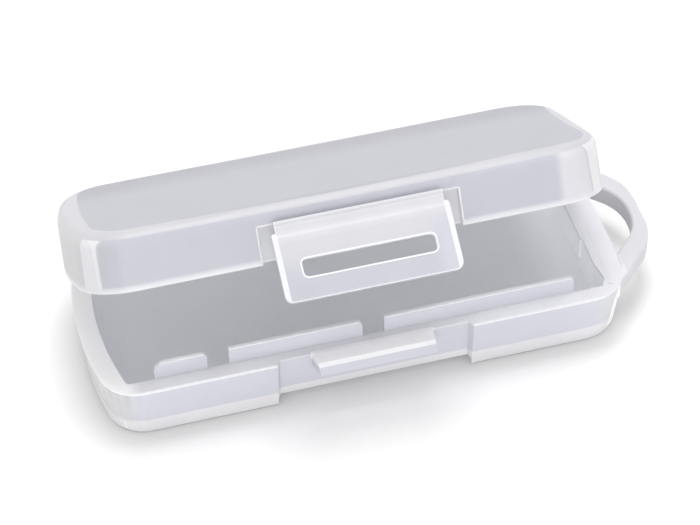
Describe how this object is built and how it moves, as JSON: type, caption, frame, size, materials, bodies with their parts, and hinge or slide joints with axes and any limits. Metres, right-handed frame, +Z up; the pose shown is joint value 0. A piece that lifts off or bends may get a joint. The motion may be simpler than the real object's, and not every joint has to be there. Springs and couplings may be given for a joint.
{
  "type": "battery storage case",
  "caption": "Frosted translucent hinged case for small round batteries: shallow tray, domed lid, snap latch flap and a hanging loop at one end.",
  "frame": {"origin": "centre of the tray's underside", "axes": "+X along the case towards the hanging loop, +Y to the hinged back, +Z up"},
  "size_m": [0.1246, 0.0549, 0.046],
  "materials": {
    "frosted_tray": "frosted translucent polypropylene",
    "frosted_lid": "frosted translucent polypropylene",
    "frosted_latch": "frosted translucent polypropylene, thin",
    "hinge_pins": "smooth translucent polypropylene"
  },
  "bodies": {
    "tray": {"base_tray": "frosted_tray", "latch_catch": "frosted_tray", "front_lip_left": "frosted_tray", "front_lip_middle": "frosted_tray", "front_lip_right": "frosted_tray", "right_end_band": "frosted_tray", "hanging_loop": "frosted_tray", "base_knuckles_left": "frosted_tray", "base_knuckles_right": "frosted_tray", "hinge_pin_left": "hinge_pins", "hinge_pin_right": "hinge_pins"},
    "lid": {"lid_shell": "frosted_lid", "lid_knuckle_left": "frosted_lid", "lid_knuckle_right": "frosted_lid", "latch_hinge_web": "frosted_lid"},
    "latch": {"latch_flap": "frosted_latch"}
  },
  "joints": [
    {"name": "lid_hinge", "type": "hinge", "parent": "tray", "child": "lid", "pos_m": [0, 0.0241, 0.01335], "axis": [-1, 0, 0], "range_deg": [-29.8, 120.2]},
    {"name": "latch_hinge", "type": "hinge", "parent": "lid", "child": "latch", "pos_m": [0, -0.01309, 0.04439], "axis": [-1, 0, 0], "range_deg": [-28, 102]}
  ]
}
